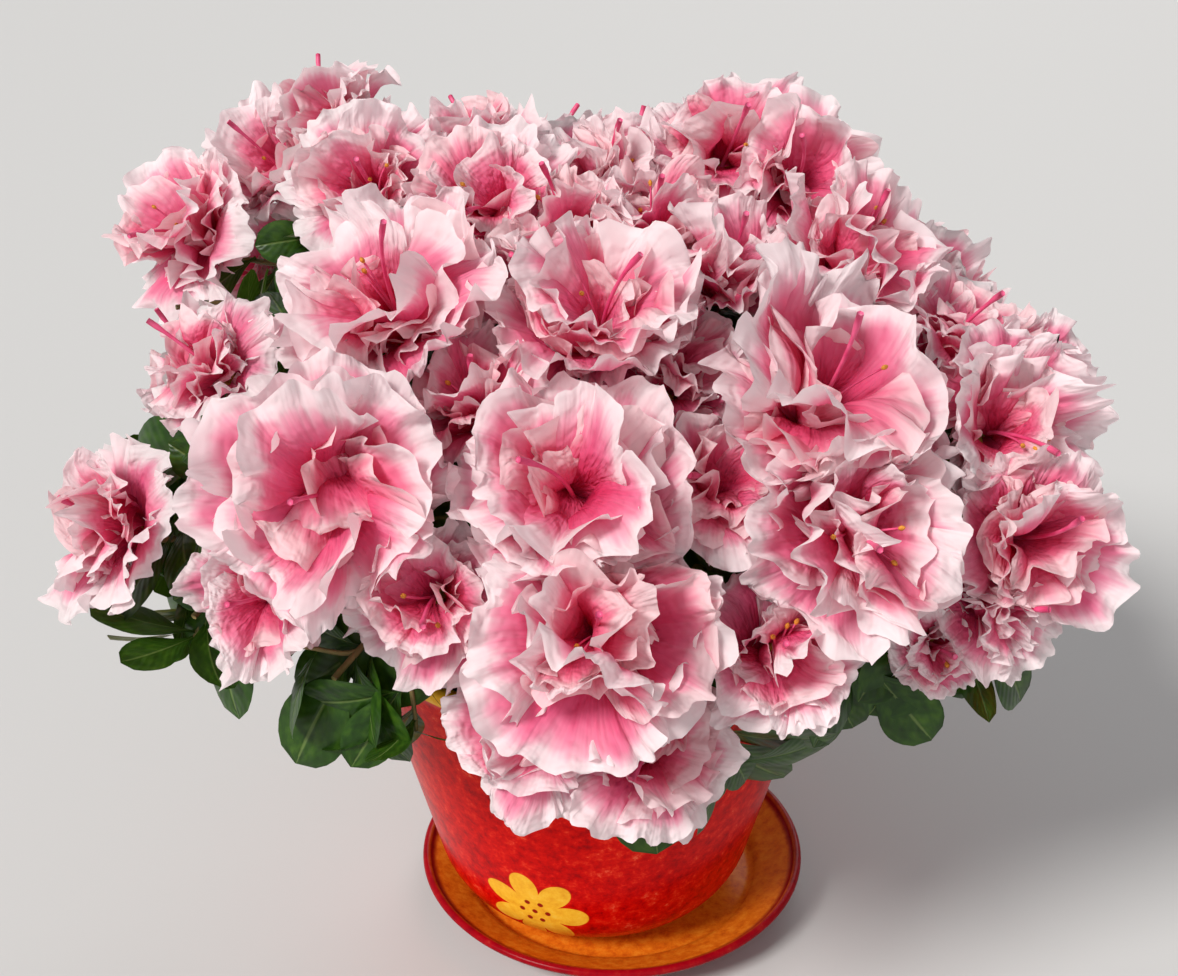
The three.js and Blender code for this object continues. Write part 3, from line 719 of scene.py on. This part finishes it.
def finely(section, step=2.5):
    """Adds points along a half section, so that no stretch is longer than a step."""
    section = np.concatenate([np.reshape(part, (-1, 2)) for part in section]).astype(float)
    rows = []
    for start, end in zip(section, section[1:]):
        pieces = max(1, int(np.ceil(np.linalg.norm(end - start) / step)))
        rows.append(blend(start, end, np.arange(pieces)[:, None] / pieces))
    return np.concatenate(rows + [section[-1:]])


def turned(section, base, aside=(0, 0)):
    """A piece turned about an upright axis, whose section starts and ends on the axis."""
    shape = Shape()
    ring = section[1:-1]
    angle = np.arange(ROUND_SIDES) * 2 * np.pi / ROUND_SIDES
    points = np.stack([
        ring[:, :1] * np.cos(angle) + aside[0], ring[:, :1] * np.sin(angle) + aside[1],
        ring[:, 1:] + base + 0 * angle,
    ], axis=-1)
    index = shape.add_grid(points, closed=True)
    shape.add_cap(index[0], (*aside, section[0][1] + base), flip=True)
    shape.add_cap(index[-1], (*aside, section[-1][1] + base))
    return shape


def pot_shape(base):
    p = POT
    belly = p["belly"] - p["foot_round"]
    return turned(finely([
        (0, 0), (p["foot"], 0), arc(belly, p["foot_round"], p["foot_round"], -85, -15, 14),
        (p["shoulder"], p["shoulder_height"]), (p["shoulder"] + 0.9, p["shoulder_height"] + 0.8),
        arc(p["rim"] - p["lip"], p["height"] - p["lip"], p["lip"], 0, 180, 12),
        (p["shoulder"] - p["wall"], p["shoulder_height"]), (p["belly"] - p["wall"], p["foot_round"]),
        arc(belly, p["foot_round"], p["foot_round"] - p["wall"], -10, -80, 8),
        (p["foot"] - p["wall"], p["wall"]), (0, p["wall"]),
    ]), base)


def saucer_shape():
    s = SAUCER
    return turned(finely([
        (0, 0), (s["foot"] - 1, 0), (s["foot"], 1), (s["rim"] - 1, s["height"] - 3),
        arc(s["rim"] - s["lip"], s["height"] - s["lip"], s["lip"], 0, 180, 10),
        arc(s["foot"] - s["wall"] - 2, s["floor"] + 4, 4, -25, -90, 5), (0, s["floor"]),
    ]), 0, s["aside"])


def compost_shape(random):
    """The compost, whose top is crumbly."""
    low, high = (np.array(corner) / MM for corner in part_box("compost"))
    edge = high[0]
    section = finely([
        (0, low[2]), (POT["foot"] - POT["wall"], low[2]), (edge - 14, blend(low[2], high[2], 0.3)),
        (edge - 0.3, high[2] - 1.8), (TRUNK["foot"] + 6, high[2] - 0.6), (0, high[2] - 0.6),
    ], step=1.2)
    shape = turned(section, 0)
    points = shape.points[0]
    top = (points[:, 2] > high[2] - 1.9) & (np.linalg.norm(points[:, :2], axis=1) < edge - 1)
    crumbs = sum(Waves(random, length).at(points)[:, 2] for length in (3.2, 5.1, 9.0))
    points[top, 2] += np.clip(crumbs[top] * 0.5 - 0.4, -1.6, 0.5)
    return shape


# Materials
def srgb(red, green, blue):
    """A colour given as in the photograph, from 0 to 255, as the renderer takes it."""
    share = np.array([red, green, blue]) / 255
    linear = np.where(share <= 0.04045, share / 12.92, ((share + 0.055) / 1.055) ** 2.4)
    return (*linear.tolist(), 1.0)


class Value:
    """A number in a material, which can be added and multiplied."""

    def __init__(self, graph, socket):
        self.graph = graph
        self.socket = socket

    def __add__(self, other):
        return self.graph.math("ADD", self, other)

    def __sub__(self, other):
        return self.graph.math("SUBTRACT", self, other)

    def __rsub__(self, other):
        return self.graph.math("SUBTRACT", other, self)

    def __mul__(self, other):
        return self.graph.math("MULTIPLY", self, other)

    def __truediv__(self, other):
        return self.graph.math("DIVIDE", self, other)

    __radd__ = __add__
    __rmul__ = __mul__


class Graph:
    """The nodes of one material."""

    def __init__(self, name, roughness=0.5, **inputs):
        self.material = bpy.data.materials.new(name)
        self.material.use_nodes = True
        self.tree = self.material.node_tree
        self.shader = self.tree.nodes["Principled BSDF"]
        self.shader.inputs["Roughness"].default_value = roughness
        for key, value in inputs.items():
            self.shader.inputs[key].default_value = value

    def put(self, socket, value):
        value = value.socket if isinstance(value, Value) else value
        if isinstance(value, bpy.types.NodeSocket):
            self.tree.links.new(value, socket)
        else:
            socket.default_value = value

    def paint(self, color):
        self.put(self.shader.inputs["Base Color"], color)

    def node(self, kind, inputs=None, **settings):
        made = self.tree.nodes.new("ShaderNode" + kind)
        for key, value in settings.items():
            setattr(made, key, value)
        for key, value in (inputs or {}).items():
            self.put(made.inputs[key], value)
        return made

    def math(self, operation, *values):
        made = self.node("Math", operation=operation)
        for socket, value in zip(made.inputs, values):
            self.put(socket, value)
        return Value(self, made.outputs[0])

    def split(self, vector):
        made = self.node("SeparateXYZ", {0: vector})
        return [Value(self, socket) for socket in made.outputs]

    def place(self):
        """The place on the object, in millimetres."""
        coordinates = self.node("TexCoord").outputs["Object"]
        return [value / MM for value in self.split(coordinates)]

    def noise(self, x, y, z, scale, detail=2.0, roughness=0.5):
        inputs = {
            "Vector": self.node("CombineXYZ", {0: x, 1: y, 2: z}).outputs[0],
            "Scale": scale, "Detail": detail, "Roughness": roughness,
        }
        return Value(self, self.node("TexNoise", inputs).outputs[0])

    def step(self, value, low, high):
        """Rises smoothly from 0 to 1 as the value goes from low to high."""
        inputs = {0: value, 1: low, 2: high, 3: 0.0, 4: 1.0}
        made = self.node("MapRange", inputs, interpolation_type="SMOOTHSTEP")
        return Value(self, made.outputs[0])

    def ramp(self, value, *stops):
        made = self.node("ValToRGB", {0: value})
        elements = made.color_ramp.elements
        while len(elements) < len(stops):
            elements.new(0.5)
        for element, (position, color) in zip(elements, stops):
            element.position = position
            element.color = srgb(*color)
        return made.outputs[0]

    def mix(self, share, first, second, blend_type="MIX"):
        made = self.node("Mix", data_type="RGBA", blend_type=blend_type)
        for index, value in ((0, share), (6, first), (7, second)):
            self.put(made.inputs[index], value)
        return made.outputs[2]

    def bump(self, height, strength, distance):
        inputs = {"Height": height, "Strength": strength, "Distance": distance}
        self.put(self.shader.inputs["Normal"], self.node("Bump", inputs).outputs[0])

    def tile(self):
        """Where on its tile a point lies: across from -1 to 1, along from 0 to 1, and the tile's number."""
        x, y, _ = self.split(self.node("UVMap", uv_map=TILE_MAP).outputs[0])
        column, row = x * TILES[0], y * TILES[1]
        across = (self.math("FRACT", column) - 0.5) / (TILE_FILL / 2)
        along = (self.math("FRACT", row) - 0.5) / TILE_FILL + 0.5
        return across, along, self.math("FLOOR", column) + self.math("FLOOR", row) * TILES[0]

    def see_through(self, share, color):
        """Lets some light through the surface, as a thin petal or leaf does."""
        glow = self.node("BsdfTranslucent", {"Color": color})
        both = self.node("MixShader", {0: share, 1: self.shader.outputs[0], 2: glow.outputs[0]})
        self.put(self.tree.nodes["Material Output"].inputs[0], both.outputs[0])


def petal_material():
    """Petals: deep rose in the throat, pink along the veins, and a broad white margin with a ragged edge."""
    graph = Graph("petals", roughness=0.65, **{"Specular IOR Level": 0.3})
    across, along, kind = graph.tile()
    rays = graph.noise(across * 3, along * 0.6, kind * 5.3, 1.6, 1.0)
    veins = graph.noise(across * 16, along * 1.5, kind * 5.3, 1.5, 1.0, 0.6)
    patches = graph.noise(across * 1.2, along * 2, kind * 9.1, 2.2, 1.0)
    inward = graph.step(kind, 3.5, 5.5)
    paler = graph.math("SINE", kind * 2.4) * 0.04
    run = along + (rays - 0.5) * 0.3 + (veins - 0.5) * 0.14 + (patches - 0.5) * 0.16
    run = run + paler - inward * 0.03
    pink = graph.ramp(
        run, (0.0, (204, 26, 82)), (0.2, (226, 46, 100)), (0.4, (237, 76, 126)), (0.58, (242, 104, 148)),
        (0.72, (247, 142, 174)), (0.8, (250, 186, 204)), (0.86, (254, 230, 235)), (0.96, (255, 243, 245)),
    )
    coral = graph.mix(inward * 0.25, pink, srgb(250, 176, 180), "MULTIPLY")
    speckle = graph.step(graph.noise(across * 9, along * 9, kind, 1.7, 0.0), 0.56, 0.68)
    blotch = speckle * graph.step(along, 0.2, 0.34) * (1 - graph.step(along, 0.46, 0.66))
    blotch = blotch * (1 - graph.step(graph.math("ABSOLUTE", across), 0.3, 0.62))
    marked = graph.math("COMPARE", kind, 3.0, 0.5)
    color = graph.mix(blotch * marked * 0.6, coral, srgb(206, 46, 118))
    graph.paint(color)
    crinkles = graph.noise(across * 5, along * 4, kind * 3.7, 2.2, 1.0)
    graph.bump(crinkles + veins * 0.4, 0.8, 0.002)
    graph.see_through(0.38, color)
    return graph.material


def leaf_material():
    """Leaves: dark glossy green with a paler midrib, and a few olive or yellowing ones."""
    graph = Graph("leaves", roughness=0.36, **{"Specular IOR Level": 0.3})
    across, along, kind = graph.tile()
    away = graph.math("ABSOLUTE", across)
    patches = graph.noise(across * 2, along * 4, kind * 7.7, 1.5, 3.0)
    side_veins = graph.math("SINE", (along * 9 - away * 2.6) * 6.283)
    green = graph.ramp(
        patches + (side_veins * 0.01), (0.25, (20, 44, 10)), (0.5, (36, 68, 14)), (0.75, (60, 94, 22)),
    )
    olive = graph.math("COMPARE", kind, 6.0, 0.5) * graph.step(patches + away * 0.2, 0.4, 0.7)
    green = graph.mix(olive * 0.6, green, srgb(120, 104, 34))
    rib = (1 - graph.step(away, 0.02, 0.07)) * 0.45
    color = graph.mix(rib, green, srgb(122, 142, 78))
    graph.paint(color)
    graph.bump(side_veins * 0.2 + graph.step(away, 0.0, 0.12), 0.35, 0.0005)
    graph.see_through(0.08, srgb(110, 150, 40))
    return graph.material


def plain_material(name, low, high, roughness, size):
    """A surface whose colour varies a little between two colours over patches of a size in millimetres."""
    graph = Graph(name, roughness)
    patches = graph.noise(*graph.place(), 1 / size, 3.0)
    graph.paint(graph.ramp(patches, (0.3, low), (0.7, high)))
    graph.bump(patches, 0.3, 0.0003)
    return graph.material


def bark_material():
    """Bark: grey-brown and finely cracked along the limb."""
    graph = Graph("bark", 0.85)
    x, y, z = graph.place()
    cracks = graph.noise(x, y, z * 0.35, 0.8, 5.0, 0.65)
    graph.paint(graph.ramp(
        cracks, (0.3, (52, 38, 28)), (0.5, (104, 82, 62)), (0.72, (146, 124, 100)),
    ))
    graph.bump(cracks, 0.6, 0.001)
    return graph.material


def sponged(graph, x, y, z):
    """Red glaze dabbed with a sponge, with darker clouds and paler flecks."""
    flecks = graph.noise(x, y, z, 0.26, 6.0, 0.72)
    clouds = graph.noise(x, y, z, 0.05, 2.0)
    red = graph.ramp(
        flecks + (clouds - 0.5) * 0.3, (0.3, (142, 0, 6)), (0.44, (192, 2, 2)), (0.55, (212, 10, 4)),
        (0.64, (224, 40, 20)), (0.78, (240, 112, 78)),
    )
    return red, flecks


def pot_material(base):
    """Glazed pot: sponged red wall with a painted yellow flower, and a yellow band at the rim."""
    graph = Graph("pot_glaze", 0.25, **{"Specular IOR Level": 0.05})
    x, y, z = graph.place()
    red, flecks = sponged(graph, x, y, z)
    inner = graph.math("SQRT", x * x + y * y)
    azimuth = graph.math("ARCTAN2", x, y * -1)
    band = graph.step(z, base + POT["shoulder_height"] - 0.6, base + POT["shoulder_height"] + 0.4)
    slope = (POT["shoulder"] - POT["belly"]) / (POT["shoulder_height"] - POT["foot_round"])
    inside = graph.step(inner - (z - base) * slope, POT["belly"] - 12.0, POT["belly"] - 10.4)
    yellow = graph.ramp(
        flecks, (0.25, (228, 146, 30)), (0.55, (246, 184, 48)), (0.8, (250, 204, 84)),
    )
    scroll = graph.math("SINE", azimuth * 64) * 1.5 + (base + POT["shoulder_height"] + 3.2)
    line = 1 - graph.step(graph.math("ABSOLUTE", z - scroll), 0.15, 0.4)
    rim = graph.mix(line * 0.75, yellow, srgb(120, 66, 20))
    color = graph.mix(band, red, rim)

    aside = (azimuth - MOTIF["azimuth"] * DEGREE) * POT["belly"]
    above = z - MOTIF["height"]
    far = graph.math("SQRT", aside * aside + above * above)
    turn = graph.math("ARCTAN2", above, aside)
    lobe = graph.math("ABSOLUTE", graph.math("COSINE", turn * (MOTIF["petals"] / 2)))
    edge = (graph.math("POWER", lobe, 0.7) * 0.52 + 0.48) * MOTIF["size"]
    flower = 1 - graph.step(far - edge, -0.25, 0.25)
    spoke = graph.math("FRACT", turn * (MOTIF["dots"] / (2 * np.pi)) + 0.5) - 0.5
    swing = spoke * (2 * np.pi / MOTIF["dots"])
    gap_along = far * graph.math("COSINE", swing) - MOTIF["ring"]
    gap_across = far * graph.math("SINE", swing)
    near = graph.math("SQRT", gap_along * gap_along + gap_across * gap_across)
    dots = 1 - graph.step(graph.math("MINIMUM", near, far), MOTIF["dot"] - 0.2, MOTIF["dot"] + 0.2)
    color = graph.mix(flower, color, graph.mix(dots, yellow, srgb(150, 26, 16)))
    color = graph.mix(1 - inside, color, yellow)
    graph.paint(color)
    graph.bump(flecks, 0.12, 0.0004)
    return graph.material


def saucer_material():
    """Glazed saucer: crimson outside, orange and yellow inside."""
    graph = Graph("saucer_glaze", 0.25, **{"Specular IOR Level": 0.08})
    x, y, z = graph.place()
    red, flecks = sponged(graph, x, y, z)
    crimson = graph.mix(0.7, red, srgb(118, 6, 26))
    orange = graph.ramp(flecks, (0.25, (184, 70, 12)), (0.5, (220, 116, 22)), (0.8, (240, 158, 46)))
    x, y = x - SAUCER["aside"][0], y - SAUCER["aside"][1]
    reach = graph.math("SQRT", x * x + y * y)
    wall = z * ((SAUCER["rim"] - SAUCER["foot"]) / SAUCER["height"]) + SAUCER["foot"] - 2.2
    color = graph.mix(graph.step(reach - wall, -0.6, 0.6), orange, crimson)
    graph.paint(color)
    graph.bump(flecks, 0.12, 0.0004)
    return graph.material


def compost_material():
    """Dark peaty compost with paler crumbs."""
    graph = Graph("compost", 0.95)
    crumbs = graph.noise(*graph.place(), 0.7, 6.0, 0.7)
    graph.paint(graph.ramp(
        crumbs, (0.35, (22, 14, 9)), (0.55, (48, 33, 22)), (0.75, (92, 66, 44)),
    ))
    graph.bump(crumbs, 0.8, 0.0015)
    return graph.material


def make_pots():
    random = np.random.default_rng(SEED + 1)
    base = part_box("pot")[0].z / MM
    pot_shape(base).make("glazed_pot", pot_material(base), "pot_glaze", ["pot"])
    saucer_shape().make("glazed_saucer", saucer_material(), "saucer_glaze", ["saucer"])
    compost_shape(random).make("compost_top", compost_material(), "compost", ["compost"])


# Studio
def set_camera():
    camera = bpy.data.objects.new("camera", bpy.data.cameras.new("camera"))
    camera.location = CAMERA["place"]
    camera.rotation_euler = (CAMERA["tilt"] * DEGREE, 0, 0)
    camera.data.sensor_width = CAMERA["sensor"]
    camera.data.lens = CAMERA["lens"]
    camera.data.clip_start = 0.01
    bpy.context.scene.collection.objects.link(camera)
    bpy.context.scene.camera = camera


def add_light(name, place, spread, strength, color):
    """Even light from the way towards a place, as soft as the angle that its source spreads over."""
    lamp = bpy.data.lights.new(name, "SUN")
    lamp.angle = spread * DEGREE
    lamp.energy = strength
    lamp.color = color
    light = bpy.data.objects.new(name, lamp)
    light.location = place
    way = -np.array(place)
    light.rotation_euler = (
        np.arctan2(np.hypot(way[0], way[1]), -way[2]), 0, np.arctan2(way[1], way[0]) - np.pi / 2,
    )
    bpy.context.scene.collection.objects.link(light)


def set_studio():
    mesh = bpy.data.meshes.new("floor")
    half = ROOM["half"]
    corners = [(-half, -half, 0), (half, -half, 0), (half, half, 0), (-half, half, 0)]
    mesh.from_pydata(corners, [], [(0, 1, 2, 3)])
    floor = bpy.data.objects.new("floor", mesh)
    bpy.context.scene.collection.objects.link(floor)
    graph = Graph("floor", 0.8)
    graph.paint(srgb(*ROOM["floor"]))
    mesh.materials.append(graph.material)
    for name, (place, spread, strength, color) in LAMPS.items():
        add_light(name, place, spread, strength, color)
    world = bpy.data.worlds.new("studio")
    world.use_nodes = True
    background = world.node_tree.nodes["Background"]
    background.inputs["Color"].default_value = srgb(*ROOM["air"])
    background.inputs["Strength"].default_value = ROOM["glow"]
    bpy.context.scene.world = world
    bpy.context.scene.view_settings.view_transform = "Standard"


grow_plant({
    "petals": petal_material(),
    "leaves": leaf_material(),
    "bark": bark_material(),
    "bracts": plain_material("bracts", (150, 116, 40), (216, 158, 66), 0.7, 3.0),
    "twigs": plain_material("twigs", (84, 92, 40), (134, 108, 66), 0.7, 5.0),
    "styles": plain_material("styles", (214, 54, 108), (236, 104, 146), 0.45, 6.0),
    "anthers": plain_material("anthers", (176, 100, 30), (230, 160, 50), 0.7, 1.0),
})
make_pots()
set_camera()
set_studio()
